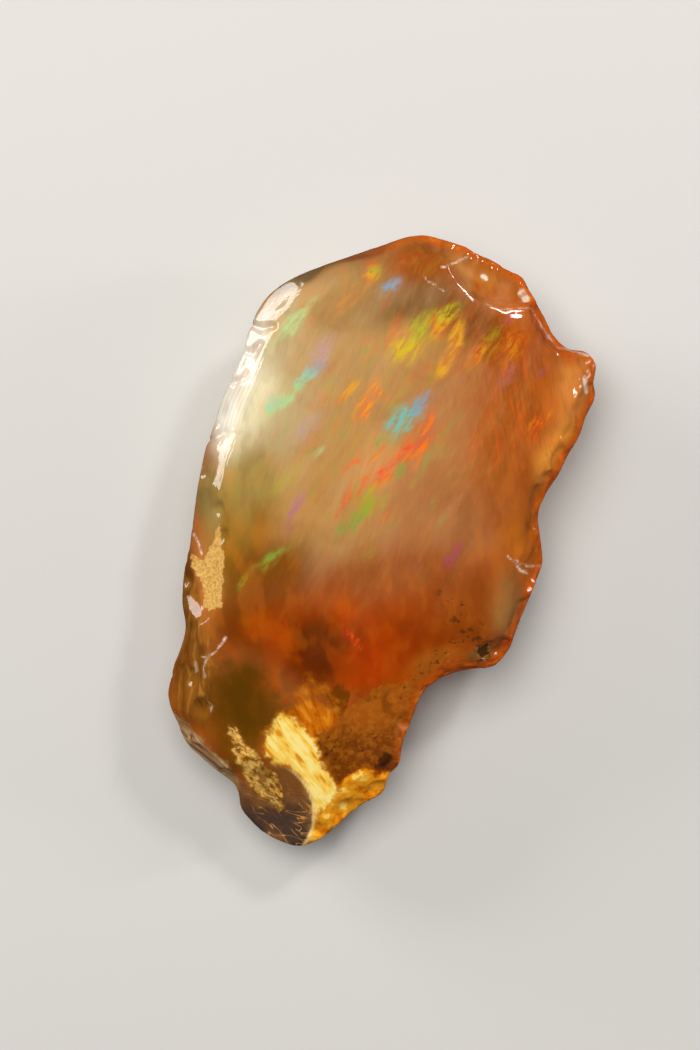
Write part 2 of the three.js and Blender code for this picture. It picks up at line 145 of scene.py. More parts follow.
VOXEL = 0.27  # edge of the fine mesh
BATCH = 20000  # points worked on at a time
RIDGE_SOFTNESS = 0.05  # how far a ridge is rounded
ROLLED_BREAK = 18  # the frosted break, which has no ridge on the face
ROLLED_WIDTH = 3.0  # over which the face rolls down into it
GRID_STEP = 0.25  # spacing of the grid of distances to the outline
GRID_MARGIN = 2  # how far the grid reaches past the outline
SETTLE_STEPS = 5  # times the fine mesh is drawn onto the form
MOST_MOVE = 0.3  # the most that one such step moves a point
LEAST_TILT = 0.3  # where slopes cancel out in a groove, they count as this much
SMALL = 1e-4
FIRST_BREAK = 3  # the dome, the rim and the resting face come before the breaks
RIPPLE_SPACING = 1.1  # from ripple to ripple, away from where a break was struck
RIPPLE_LIFT = 0.022
SHELL_LIFT = 0.03  # lumps of the breaks
FACE_LIFT = 0.035  # swells of the face
BITE_DEPTH = (0.1, 0.34)  # of the nibbled ridges, and what the right side adds
BITE_REACH = (0.8, 2.2)  # from the rim, over which the bites lose three quarters of their depth
STEP_DEPTH = 0.22
RIPPLE_LINES = 15  # how close the ripple lines of the looks are, in radians a millimetre

# Steps across the shoulder between its shells: half the width, and a line of points.
STEPS = [
    (0.1, [(-14.9, 24.4), (-12.9, 23), (-11.6, 23.4)]),
    (0.1, [(-15.9, 21.2), (-13.9, 20.2), (-13.1, 21.4)]),
    (0.1, [(-17.2, 17.9), (-15.6, 17.2), (-14.4, 18.2)]),
    (0.08, [(-19.6, 11.4), (-18.2, 11), (-17, 12)]),
]

# Regions of the face: middle, half length, half width, direction of the length in degrees.
SMOOTH_SHOULDER = ((-14.5, 19), 13, 4, 66)
MILKY = ((-11, 20), 12, 6.5, 66)
CLEARER = ((-8, -12), 9, 6, 0)
MURKY_FLANK = ((-21.2, -5.4), 5, 2.6, 90)
DEEP_RED = ((-6, -13), 12, 6.5, 165)
SPECKS = [((8.6, -8), 4.4, 1.2, 125), ((6.9, -12), 3.8, 0.9, 36)]
KEPT_REGIONS = {
    "play": ((1, 14.5), 17, 11, 65),  # where the play of colour is
    "right": ((15, 15.5), 10, 5.5, 100),  # fibres of the right side
    "shoulder": ((-14.6, 15.5), 5.5, 2.4, 70),  # ripple lines of the shoulder, in its relief and in its painted highlight
}

# ---- colours, as they are seen, from 0 to 255 ----

BODY = (184, 100, 44)
# painted glow of the thin rim, where light comes through
LIT_RIM = (232, 112, 20)

# Soft zones of the body, one painted over the other:
# colour, middle, half length, half width, direction of the length in degrees, strength.
ZONES = [
    ((176, 80, 2), (-5, -19), 22, 14, 165, 1),  # clear orange of the lower part
    ((182, 138, 76), (-6, 8), 26, 12, 75, 0.9),  # tan left half
    ((176, 160, 118), (-11, 19), 12, 6.5, 66, 1),  # milk of the upper left
    ((180, 136, 82), (-3, 21), 9, 7, 60, 0.8),
    ((152, 118, 68), (-1, 26.5), 8, 3.5, 20, 0.85),
    ((180, 120, 70), (7, 10), 13, 7, 70, 0.85),  # salmon middle
    ((172, 110, 64), (6, 1.5), 7, 5, 30, 0.85),
    ((146, 104, 28), (-15, 2.6), 9, 3.6, 88, 0.95),  # olive along the left
    ((150, 130, 66), (-14.4, 7.2), 4, 3.2, 80, 0.8),
    ((170, 84, 24), (14, 13), 12, 5, 85, 0.85),  # orange right side
    ((166, 68, 4), (14, 21), 6, 4, 100, 0.9),
    ((122, 54, 2), (9, 25.6), 6.4, 3.8, 125, 0.95),
    ((120, 82, 44), (3.6, 26.6), 4.6, 2.6, 20, 0.85),
    ((180, 90, 22), (13, 27.4), 5, 3, 150, 0.95),  # chip on the upper right
    ((148, 74, 20), (4.5, 30), 5, 2.4, 0, 0.95),  # splintered tip
    ((218, 136, 60), (21.2, 16), 5.5, 2.4, 80, 0.95),  # lobe on the right, painted lighter where light comes through its thin edge
    ((240, 158, 60), (19.2, 9.4), 4.6, 2, 60, 0.95),
    ((152, 74, 8), (9, -7.5), 8, 4, 10, 0.9),  # towards the lower right spur
    ((190, 104, 24), (15.2, -0.4), 4, 2.4, 95, 0.85),
    ((164, 118, 64), (13.8, -7), 4, 1.9, 95, 0.9),
    ((208, 146, 84), (-0.5, 8.5), 3.6, 2.6, 60, 0.7),
    ((120, 68, 0), (-12, -4), 6, 4.5, 20, 1),
    ((112, 56, 0), (-13, -8.6), 6, 4, 0, 0.95),
    ((150, 72, 26), (1, -4.6), 12, 4, 5, 0.8),
    ((186, 68, 0), (-3, -11), 11.5, 5.4, 0, 0.97),  # deep red below the middle
    ((214, 70, 0), (-1.6, -12.6), 3.4, 2.4, 60, 0.9),
    ((112, 42, 0), (-7.4, -11.6), 4, 3.4, 80, 0.95),
    ((122, 68, 8), (-19.5, -16), 5, 2.4, 100, 0.8),
    ((118, 70, 2), (-14.8, -17), 4.8, 3.2, 65, 0.95),  # dark olive of the lower left
    ((128, 78, 8), (-15.4, -21.8), 3.4, 2.4, 60, 0.9),
    ((66, 34, 8), (-21, -5.5), 5, 1.5, 90, 0.95),  # flank below the sand
    ((156, 132, 72), (-18.6, 4.4), 3.8, 1.5, 95, 0.95),  # flat break on the left
    ((104, 84, 50), (-7.6, 29.3), 4.4, 0.8, 24, 0.9),  # bevel along the top left
    ((136, 62, 18), (-2, 31.4), 4.4, 0.8, 20, 0.9),
    ((220, 84, 12), (18.6, 23.2), 4.6, 1.2, 125, 0.9),  # rim of the upper right
    ((192, 82, 20), (7.6, 32.3), 4, 0.9, 155, 0.8),
    ((204, 112, 28), (6.5, -13), 3.4, 1.4, 20, 0.85),
    ((204, 124, 50), (10, 30), 3.6, 1.3, 150, 0.8),
    ((214, 96, 20), (7.5, -14.2), 5.5, 0.8, 20, 0.8),  # thin rim of the bay, painted bright where light comes through it
    # painted highlight: the white reflection along the left shoulder, laid as four ovals
    ((236, 226, 190), (-14.6, 14.6), 6, 2.8, 71, 0.6),
    ((255, 250, 236), (-16.2, 15.4), 5.2, 1.9, 72, 0.95),  # painted highlight: the white softbox reflection along the left shoulder
    ((255, 242, 222), (-14, 21.2), 4, 1.2, 62, 0.85),
    ((236, 224, 200), (-11.2, 26), 3, 0.9, 48, 0.3),
]

# Patches with an edge of their own: how ragged and how soft it is, the size of its raggedness,
# and the corners.
PATCHES = {
    "frost": (1.3, 0.35, 1.1, [  # the frosted break
        (4.4, -14.8), (0.1, -15.5), (-3, -17.2), (-4.7, -19.5), (-7.5, -20.9), (-7.2, -22.8),
        (-6.1, -25.6), (-4.7, -27.3), (-3.5, -26.2), (-1, -24.8), (1.8, -24.9), (2.6, -22.3),
        (3.8, -18.3), (4.6, -16.1),
    ]),
    "gold": (1.1, 0.75, 1, [  # the golden patch, painted bright as light that comes through it
        (-10.8, -18.4), (-12.5, -20.8), (-12.7, -22.4), (-11.8, -24), (-10, -24.2), (-8.6, -25.9),
        (-7.9, -28), (-7.6, -30.4), (-6.2, -28.8), (-4.4, -27.6), (-5.5, -25.5), (-6.6, -23.4),
        (-7.2, -21.2), (-9.2, -19),
    ]),
    "amber": (1, 0.6, 1.2, [  # the amber edge
        (-7.9, -31), (-6.4, -28.8), (-4.9, -27.2), (-3.4, -25.2), (-2, -24.6), (-0.9, -24.7),
        (-0.6, -25.2), (0.9, -25.2), (0.6, -27.4), (-2.4, -29.2), (-6.6, -32.6), (-8.4, -33.4),
    ]),
    "notch": (1, 0.3, 0.8, [  # the dark notch
        (-0.8, -24.4), (0.2, -22.8), (1.7, -23), (1.9, -24.6), (0.6, -25),
    ]),
    "sand": (0.6, 0.15, 0.7, [  # sandy rock
        (-17.5, 2.1), (-17.3, -0.3), (-16.9, -1.2), (-16.9, -3), (-17.1, -5), (-17.2, -6.8),
        (-18.5, -7.4), (-19.1, -6.9), (-19.2, -4.7), (-19.9, -3.6), (-20.6, -2.7), (-20.8, -1),
        (-19.9, -1.7), (-19.2, -1.9), (-18.2, -0.2),
    ]),
    "diamond": (1.4, 0.25, 1.4, [  # a dark pocket
        (-6.2, -16.2), (-4.2, -15.5), (-2.9, -16.2), (-3.6, -17.6), (-4.6, -19.4), (-5.4, -17.8),
    ]),
    "olive": (3, 1.7, 2.8, [  # the olive pocket
        (-17.2, -12.6), (-14.4, -13.4), (-11.6, -16.6), (-9.3, -18.3), (-11.2, -19.2), (-13, -21.2),
        (-15.2, -21.6), (-17.8, -18.6),
    ]),
    "streaks": (1.6, 1, 1.6, [  # brown streaks
        (-21.6, -3.6), (-19.9, -4.6), (-19.3, -8), (-18.2, -11), (-18, -15), (-18.8, -19.4),
        (-21.6, -20.2), (-23.6, -17), (-23.2, -13.6), (-21.9, -10.6),
    ]),
    "flames": (2.4, 1.2, 1.6, [  # flames above the golden patch
        (-10.6, -19.4), (-9.6, -17.4), (-8.6, -16.4), (-7.8, -14.8), (-6.6, -15.6), (-5.8, -17.2),
        (-4.4, -19.8), (-5.2, -22), (-7.2, -22), (-8.6, -20.8),
    ]),
    "shelf": (0.8, 0.4, 1.6, [  # the banded shelf
        (-22.9, -18.4), (-21.4, -19.4), (-19, -22), (-16.4, -24.6), (-14.6, -27), (-15.4, -28.6),
        (-16.4, -27), (-19.4, -24.6), (-22.2, -21.8),
    ]),
    "pit": (0.7, 0.15, 0.8, [  # the clear pit
        (9.2, -12.6), (10.2, -11.3), (12.2, -10.6), (11.9, -12.4), (11.2, -13.4),
    ]),
    "crinkle": (1, 0.6, 1, [  # the crinkled band
        (-16.5, -19.8), (-15.9, -19.9), (-14.8, -21.6), (-13.4, -23.3), (-11.7, -25), (-11, -26.6),
        (-10.7, -28.8), (-11.3, -29.4), (-12.3, -28), (-14, -27.2), (-15.2, -25.2), (-16.2, -22.4),
    ]),
}
PATCH_REACH = 4  # how far from a patch its distance is kept

# Pale cracks and bruises in the face, and painted white highlights on chips and ridges: half the
# width, and a line of points.
CRACKS_AND_GLINTS = [
    (0.02, [(-19.4, -12.2), (-18.5, -12.2), (-17.7, -11.6), (-16.7, -10.2)]),
    (0, [(-18.7, -12.4), (-19.2, -13.4), (-19, -14.6)]),
    (0.04, [(13.5, -1.4), (14.4, -2.2), (15, -3), (15.9, -3.4)]),
    (0.04, [(14.4, -1.9), (15.8, -2.5), (17.3, -2.6)]),
    # painted highlights: white glints on the upper right chips, on the lobe and along the crescent
    # at the tip
    (0.4, [(15.2, 27), (15.6, 26.4)]),
    (0.25, [(11, 28.8), (11.2, 28.6)]),
    (0.2, [(22, 17.8), (22.2, 16.4)]),
    (0.02, [(9.4, 31), (8, 30.2), (6.4, 29.5)]),
    # painted highlight: a white glint on the lower left flank
    (0.1, [(-20.2, -13), (-20, -13.9)]),
    (-0.03, [(-18.9, -16.9), (-18.3, -17.6), (-18.5, -18.4)]),
    # painted highlight: a white glint by the notch on the upper left
    (0.03, [(-20.3, 0.9), (-19.8, -0.2), (-19.4, -1.2)]),
    (-0.06, [(4.2, 29.4), (4.8, 28.2), (6.6, 27)]),
    # painted highlights: a thin glint line and dotted glints along the upper right ridge
    (-0.03, [(11, 26), (11.8, 25.2), (13, 25), (16.2, 25.3)]),
    (0.04, [(16.2, 25.3), (17.4, 23.2), (19.1, 21.2), (22.6, 20.3)]),
]
# The clear shell of the lower tip: the middle and radius of its edge, and how it fades upwards.
SHELL_MIDDLE = (-13.2, -29.6)
SHELL_RADIUS = 5.9
SHELL_FALL = (0.5, -0.87)  # direction of the fade
SHELL_FADE = (13.4, 17)
LIT_SIDE = (-3, 7)  # across which the rim goes from plain to lit orange

# Colours of the flashes.
GREEN = (120, 158, 60)
PALE_GREEN = (168, 200, 132)
TEAL = (128, 196, 160)
CYAN = (106, 190, 172)
BLUE = (122, 160, 186)
LILAC = (186, 150, 184)
VIOLET = (172, 96, 150)
MAGENTA = (178, 70, 108)
RED = (244, 78, 20)
ORANGE = (240, 124, 26)
AMBER = (224, 142, 36)
GOLD = (212, 168, 28)
LIME = (166, 166, 40)

# Flashes, from the end to the end: colour, start, end, width, strength.
FLASHES = [
    (PALE_GREEN, (-11.4, 21.8), (-7.2, 26), 0.9, 0.75),
    (LILAC, (-7.2, 19.8), (-5.4, 21.8), 1.3, 0.5),
    (TEAL, (-9.2, 17), (-7.6, 18.2), 0.9, 0.95),
    (BLUE, (-7.8, 18.2), (-6.4, 19.4), 1, 0.35),
    (PALE_GREEN, (-12.6, 13.4), (-8.6, 17), 1, 0.75),
    (TEAL, (-12, 14.4), (-11.2, 15.2), 0.8, 0.6),
    (LILAC, (-9.4, 11), (-6.6, 13.6), 1.2, 0.4),
    (PALE_GREEN, (-7, 9.2), (-6.4, 10.2), 0.5, 0.8),
    (LIME, (-12, 5), (-8.8, 8.2), 1.6, 0.45),
    (VIOLET, (-10.2, 1.4), (-8.4, 5.6), 0.9, 0.6),
    (AMBER, (-4.8, 15.1), (-2.6, 17), 0.7, 0.95),
    (ORANGE, (-2.6, 13.2), (-0.5, 17), 0.9, 0.9),
    (ORANGE, (-0.6, 16.8), (0.6, 15.6), 0.7, 0.6),
    (BLUE, (2.6, 13.4), (5, 15.8), 1, 0.9),
    (CYAN, (0.6, 12.3), (2.8, 14.4), 1, 1),
    (CYAN, (1, 11.2), (3.7, 13.5), 0.8, 0.8),
    (GREEN, (-0.7, 9.8), (0.9, 11.4), 0.8, 0.6),
    (RED, (4.4, 10.8), (5.2, 13.6), 0.9, 0.8),
    (RED, (2.2, 9.4), (4.6, 10.7), 1, 0.95),
    (RED, (-0.9, 5.9), (2.6, 9.4), 0.8, 0.95),
    (RED, (-3.9, 7.3), (-2.4, 9.2), 0.5, 0.75),
    (RED, (-4.3, 3.6), (-3.3, 6.4), 0.5, 0.75),
    (LIME, (-2.2, 3.2), (-0.9, 5.8), 1.3, 0.8),
    (RED, (-2.8, 4.8), (-0.8, 7.8), 0.45, 0.7),
    (RED, (0.4, 6.4), (1.8, 8.4), 0.4, 0.7),
    (ORANGE, (-1.2, 8.2), (0.4, 10.4), 0.5, 0.6),
    (RED, (3.2, 7.6), (4.6, 9.6), 0.4, 0.5),
    (RED, (-5.2, 2.2), (-4.2, 4.4), 0.4, 0.5),
    (ORANGE, (-6.8, 5.2), (-5.6, 7.6), 0.4, 0.4),
    (RED, (-0.2, 2.2), (1, 4), 0.35, 0.4),
    (RED, (5.4, 10.6), (6.8, 12.8), 0.5, 0.4),
    (GREEN, (-4.5, 0.6), (-2, 3.4), 0.9, 0.65),
    (GREEN, (1.6, 7), (2.6, 8.6), 0.6, 0.8),
    (GREEN, (4, 7.2), (5.3, 9.8), 0.5, 0.7),
    (LIME, (2.7, 5.3), (3.6, 6.6), 0.4, 0.5),
    (LIME, (0, 4), (0.6, 5.2), 0.4, 0.6),
    (GREEN, (5.2, 3.4), (6, 5), 0.4, 0.5),
    (GREEN, (6, 1.8), (6.6, 2.8), 0.35, 0.45),
    (LIME, (-14, -3.2), (-10.2, -0.4), 0.8, 0.5),
    (GREEN, (-12.6, -1.8), (-10.4, -0.6), 0.4, 0.5),
    (LIME, (-15.4, -5.8), (-14.6, -3.6), 0.5, 0.6),
    (LIME, (-1.9, -1.9), (-0.6, -0.5), 0.7, 0.4),
    (MAGENTA, (6.9, -2.4), (8.4, -0.2), 0.8, 0.75),
    (GOLD, (1.6, 19.7), (4.2, 22.4), 1.7, 1),
    (LIME, (4, 22), (5.6, 24.2), 1.5, 1),
    (ORANGE, (5.6, 22.8), (7, 24.2), 1.2, 0.9),
    (LIME, (6.3, 23.7), (7.9, 25.1), 1, 0.85),
    (AMBER, (7.5, 20.2), (8.4, 23.4), 0.9, 0.95),
    (AMBER, (5.7, 17.5), (7.6, 20.6), 0.8, 0.9),
    (ORANGE, (9.2, 18.9), (11, 21.4), 1.2, 0.6),
    (LIME, (11.4, 20.9), (12.8, 23.6), 1.2, 0.4),
    (MAGENTA, (13, 23.4), (14.8, 24.9), 0.6, 0.6),
    (ORANGE, (13.2, 19.2), (14.8, 22.6), 1.7, 0.5),
    (RED, (0.9, 21.6), (1.9, 23.6), 1.4, 0.3),
    (VIOLET, (16.9, 17.6), (17.8, 19), 0.6, 0.3),
    (BLUE, (12.6, 16.4), (14, 18.8), 0.8, 0.2),
    (ORANGE, (16.3, 12.5), (18.2, 13.8), 0.8, 0.7),
    (RED, (-2, 29.8), (-0.9, 30.4), 0.7, 0.5),
    (LIME, (-1.1, 28.6), (-0.5, 29.8), 0.8, 0.7),
    (ORANGE, (-1.5, 28), (-0.8, 28.6), 0.7, 0.6),
    (BLUE, (0, 26.9), (1.6, 28.2), 0.9, 0.85),
    (ORANGE, (-5.2, 24.8), (-2.2, 27.4), 1.2, 0.35),
    (RED, (-4.8, -8.7), (-1.8, -11.6), 0.45, 0.75),
    (RED, (4.6, -14.5), (9.8, -11.7), 0.25, 0.8),
    (ORANGE, (5.4, -13.4), (8.8, -11.2), 0.25, 0.5),
    (RED, (9.4, 9.4), (11.2, 13.4), 0.9, 0.3),
    (RED, (15.6, 10), (17, 13), 0.8, 0.35),
    (RED, (12, 8), (13.4, 11), 0.8, 0.25),
]

# ---- numbers and noise ----


def smoothstep(value, low, high):
    """0 below low and 1 above high, with a smooth rise between them."""
    share = np.clip((value - low) / (high - low), 0, 1)
    return share * share * (3 - 2 * share)


def lattice(cell, seed):
    """A fixed number from -1 to 1 for each place on a lattice."""
    mixed = cell[:, 0] * 73856093 ^ cell[:, 1] * 19349663 ^ cell[:, 2] * 83492791 ^ seed * 2654435
    mixed = (mixed ^ (mixed >> 13)) * 1274126177 & 0xFFFFFFFF
    mixed = (mixed ^ (mixed >> 15)) * 668265263 & 0xFFFFFFFF
    return (mixed >> 8 & 0xFFFF) / 32767.5 - 1


def lumps(points, size, seed):
    """Smooth noise from -1 to 1 whose lumps are about size across."""
    place = points / size
    cell = np.floor(place).astype(np.int64)
    share = place - cell
    share = share * share * (3 - 2 * share)
    total = np.zeros(len(points))
    for corner in itertools.product((0, 1), repeat=3):
        weight = np.prod(np.where(corner, share, 1 - share), axis=1)
        total += weight * lattice(cell + np.array(corner), seed)
    return total


def clouds(points, size, seed, layers=3):
    """Lumps with smaller lumps on them, from about -1 to 1."""
    return sum(lumps(points, size / 2**i, seed + i) / 2**i for i in range(layers)) / 1.5


# ---- the smooth form ----


def outline_ring():
    """The outline as points of a smooth closed curve."""
    corners = np.array(OUTLINE, float)
    before, after, beyond = (np.roll(corners, shift, axis=0) for shift in (1, -1, -2))
    leave, arrive = (after - before) / 2, (beyond - corners) / 2
    rows = []
    for t in np.arange(CURVE_STEPS) / CURVE_STEPS:
        t2, t3 = t * t, t * t * t
        rows.append(
            (2 * t3 - 3 * t2 + 1) * corners + (t3 - 2 * t2 + t) * leave
            + (3 * t2 - 2 * t3) * after + (t3 - t2) * arrive
        )
    return np.stack(rows, axis=1).reshape(-1, 2)


def from_segment(places, start, end):
    """Distance from each place to the straight line between two points."""
    along, offset = end - start, places - start
    share = np.clip(offset @ along / max(along @ along, SMALL**2), 0, 1)
    return np.hypot(*(offset - share[:, None] * along).T)


def ring_distance(places, ring):
    """Distance from each place to a closed line of points: below zero inside it."""
    nearest = np.full(len(places), np.inf)
    crossings = np.zeros(len(places), int)
    for start, end in zip(ring, np.roll(ring, -1, axis=0)):
        nearest = np.minimum(nearest, from_segment(places, start, end))
        spans = (start[1] > places[:, 1]) != (end[1] > places[:, 1])
        run, rise = end - start
        rise = rise if abs(rise) > SMALL**2 else SMALL**2
        crossings += spans & (places[:, 0] < start[0] + (places[:, 1] - start[1]) * run / rise)
    return np.where(crossings % 2, -nearest, nearest)


def distance_grid(ring):
    """Distances to the outline over a grid, with the grid's first corner."""
    low = ring.min(0) - GRID_MARGIN
    counts = np.ceil((ring.max(0) + GRID_MARGIN - low) / GRID_STEP).astype(int) + 1
    across, along = np.meshgrid(*(np.arange(n) for n in counts), indexing="ij")
    places = low + GRID_STEP * np.stack([across.ravel(), along.ravel()], axis=1)
    return ring_distance(places, ring).reshape(counts), low


def outline_distance(points):
    """Distance from each point to the outline, seen from above: below zero inside it."""
    values, low = OUTLINE_GRID
    place = np.clip((points[:, :2] - low) / GRID_STEP, 0, np.array(values.shape) - 1.001)
    i, j = np.floor(place).astype(int).T
    u, v = (place - np.floor(place)).T
    near = values[i, j] * (1 - u) + values[i + 1, j] * u
    far = values[i, j + 1] * (1 - u) + values[i + 1, j + 1] * u
    return near * (1 - v) + far * v


def reach_of(ring, degrees):
    """How far the outline reaches from the dome's centre in a direction."""
    turn = math.radians(degrees)
    direction = np.array([math.cos(turn), math.sin(turn)])
    start = ring - DOME_CENTRE
    end = np.roll(start, -1, axis=0)
    start_side = direction[0] * start[:, 1] - direction[1] * start[:, 0]
    end_side = direction[0] * end[:, 1] - direction[1] * end[:, 0]
    crossed = start_side * end_side <= 0
    share = start_side / np.where(start_side == end_side, 1, start_side - end_side)
    hit = start + (end - start) * share[:, None]
    return max(0, (hit[crossed] @ direction).max())


def around(table, spread):
    """Each whole degree's neighbours in a table by whole degrees, a row for each."""
    return np.stack([np.roll(table, shift) for shift in range(-spread, spread + 1)])


def dome_tables(ring):
    """The reach of the dome's foot and its power, for each whole degree from 0 to 360."""
    reach = np.array([reach_of(ring, degrees) for degrees in range(360)])
    reach = around(around(reach, DOME_GROWTH).max(0), DOME_SMOOTHING).mean(0) * DOME_SPREAD
    power = around(np.interp(np.arange(360), *zip(*DOME_POWER)), DOME_SMOOTHING).mean(0)
    return np.append(reach, reach[0]), np.append(power, power[0])


def dome_shape(offset):
    """The dome's reach and power towards each offset from its centre."""
    azimuth = np.degrees(np.arctan2(offset[:, 1], offset[:, 0])) % 360
    return tuple(np.interp(azimuth, np.arange(361), table) for table in DOME_TABLES)


def thick_share(y):
    """The share of the full thickness that the stone has at a place along it."""
    return 1 - THIN_SHARE * smoothstep(-y, -THIN_START, -THIN_END)


def dome_level(points):
    """1 on the dome, less inside it and more outside."""
    offset = points[:, :2] - DOME_CENTRE
    reach, power = dome_shape(offset)
    across = np.hypot(*offset.T) / reach
    up = np.abs(points[:, 2]) / (THICKNESS * thick_share(points[:, 1]))
    return (across**power + up**power + SMALL**3) ** (1 / power)


def slope(field, points):
    """The slope of a field at each point."""
    columns = []
    for step in np.eye(3) * GRID_STEP / 10:
        columns.append((field(points + step) - field(points - step)) / (2 * step.sum()))
    return np.stack(columns, axis=1)


def dome_height(places):
    """The height of the dome over each place."""
    offset = places - DOME_CENTRE
    reach, power = dome_shape(offset)
    rest = np.maximum(0, 1 - (np.hypot(*offset.T) / reach) ** power)
    return THICKNESS * thick_share(places[:, 1]) * rest ** (1 / power)


def ball_through(inner, outer, r, side):
    """The ball of radius r through two points, above the line between them for side 1."""
    a, b = np.array(inner, float), np.array(outer, float)
    run = math.hypot(*(b - a)[:2])
    square = np.array([*(b - a)[:2] / run * abs(b[2] - a[2]), side * run])
    square /= np.linalg.norm(square)
    half = np.linalg.norm(b - a) / 2
    return (*((a + b) / 2 + square * math.sqrt(r * r - half * half)), r)


def face_height(places, balls):
    """The height of the face over each place, once the breaks are cut away."""
    height = dome_height(places)
    for x, y, z, r in balls:
        within = r * r - (places[:, 0] - x) ** 2 - (places[:, 1] - y) ** 2
        floor = np.where(within > 0, z - np.sqrt(np.maximum(within, 0)), np.inf)
        height = np.minimum(height, floor)
    return height


def shell_ball(wide, deep, place, normal):
    """The ball that leaves a shell of a width and depth in a surface."""
    r = (wide * wide + deep * deep) / (2 * deep)
    return (*(np.array(place) + np.array(normal) * (r - deep)), r)


def chip_ball(chip, balls):
    """The ball of a chip in the face."""
    (x, y), wide, deep = chip
    cross = np.array([(x, y), (x + SLOPE_STEP, y), (x - SLOPE_STEP, y),
                      (x, y + SLOPE_STEP), (x, y - SLOPE_STEP)])
    here, east, west, north, south = face_height(cross, balls)
    normal = np.array([west - east, south - north, 2 * SLOPE_STEP])
    return shell_ball(wide, deep, (x, y, here), normal / np.linalg.norm(normal))


def break_balls():
    """The balls of all breaks, flanks first, with the point that each was struck from."""
    heights = dome_height(np.array([ridge for ridge, _, _ in FLANKS], float))
    flanks = [
        ball_through((*ridge, height), rim, r, 1)
        for (ridge, rim, r), height in zip(FLANKS, heights)
    ]
    chips = [chip_ball(chip, flanks) for chip in CHIPS]
    undercuts = [ball_through((*foot, 0), rim, r, -1) for rim, foot, r in UNDERCUTS]
    backs = [shell_ball(wide, deep, (*at, 0), (0, 0, -1)) for at, wide, deep in BACK_SHELLS]
    struck = [rim for _, rim, _ in FLANKS]
    struck += [(at[0] - wide, at[1] + wide, THICKNESS / 2) for at, wide, _ in CHIPS]
    struck += [rim for rim, _, _ in UNDERCUTS]
    struck += [(*at, 0) for at, _, _ in BACK_SHELLS]
    return np.array(flanks + chips + undercuts + backs), np.array(struck, float)


RING = outline_ring()
OUTLINE_GRID = distance_grid(RING)
DOME_TABLES = dome_tables(RING)
BALLS, STRUCK = break_balls()


def form_parts(points):
    """Each point's distance to each surface of the form, above zero outside, and the slopes."""
    level_slope = slope(dome_level, points)
    steep = np.maximum(np.linalg.norm(level_slope, axis=1), SMALL)
    dome = (dome_level(points) - 1) / steep
    edge = outline_distance(points)
    values = [dome, edge, -points[:, 2]]
    slopes = [level_slope / steep[:, None], slope(outline_distance, points)]
    slopes.append(np.tile((0.0, 0.0, -1.0), (len(points), 1)))
    for x, y, z, r in BALLS:
        offset = points - (x, y, z)
        away = np.maximum(np.linalg.norm(offset, axis=1), SMALL)
        values.append(r - away)
        slopes.append(-offset / away[:, None])
    broken = FIRST_BREAK + ROLLED_BREAK
    share = np.clip(0.5 + (values[broken] - values[0]) / (2 * ROLLED_WIDTH), 0, 1)
    values[0] += (values[broken] - values[0]) * share + ROLLED_WIDTH * share * (1 - share)
    slopes[0] += (slopes[broken] - slopes[0]) * share[:, None]
    values[broken] = np.full(len(points), -THICKNESS)
    return np.stack(values), np.stack(slopes)


def form_distance(points):
    """Each point's distance to the form with its ridges rounded, its slope, and which surface
    is nearest and by how much it leads the next one."""
    values, slopes = form_parts(points)
    best = values.max(0)
    weights = np.exp((values - best) / RIDGE_SOFTNESS)
    total = weights.sum(0)
    distance = best + RIDGE_SOFTNESS * np.log(total)
    tilt = np.einsum("sp,spk->pk", weights / total, slopes)
    ordered = np.sort(values, axis=0)
    return distance, tilt, values.argmax(0), ordered[-1] - ordered[-2]


def batches(points):
    """The points in parts small enough for the memory."""
    return np.array_split(points, max(1, len(points) // BATCH))


def settle(points, steps):
    """The points drawn onto the form."""
    for _ in range(steps):
        moved = []
        for part in batches(points):
            distance, tilt, _, _ = form_distance(part)
            size = np.maximum((tilt * tilt).sum(1), LEAST_TILT)
            move = -np.clip(distance / size, -MOST_MOVE, MOST_MOVE)[:, None] * tilt
            moved.append(part + move)
        points = np.concatenate(moved)
    return points


# ---- meshes ----


def read(rows, name):
    """Three numbers kept under a name for each row of a mesh."""
    flat = np.empty(len(rows) * 3, np.float32)
    rows.foreach_get(name, flat)
    return flat.reshape(-1, 3).astype(float)


def read_points(mesh):
    """The mesh's points in millimetres."""
    return read(mesh.vertices, "co") / MM


def read_normals(mesh):
    """The mesh's normals at its points."""
    return read(mesh.vertex_normals, "vector")


def write_points(mesh, points):
    """Moves the mesh's points to places in millimetres."""
    mesh.vertices.foreach_set("co", (points * MM).astype(np.float32).ravel())
    mesh.update()


def keep(mesh, name, values):
    """Keeps a number, or a colour and its strength, for each point of the mesh."""
    kind, field = ("FLOAT", "value") if values.ndim == 1 else ("FLOAT_COLOR", "color")
    made = mesh.attributes.new(name, kind, "POINT")
    made.data.foreach_set(field, values.astype(np.float32).ravel())


def fine_stone(node):
    """A piece with a fine, even mesh over the CAD solid."""
    stone = bpy.data.objects.new("opal_stone", node.data.copy())
    bpy.context.scene.collection.objects.link(stone)
    remesh = stone.modifiers.new("fine", "REMESH")
    remesh.mode = "VOXEL"
    remesh.voxel_size = VOXEL * MM
    graph = bpy.context.evaluated_depsgraph_get()
    mesh = bpy.data.meshes.new_from_object(stone.evaluated_get(graph), depsgraph=graph)
    stone.modifiers.clear()
    stone.data = mesh
    mesh.materials.clear()
    mesh.shade_smooth()
    return stone


# ---- the relief ----


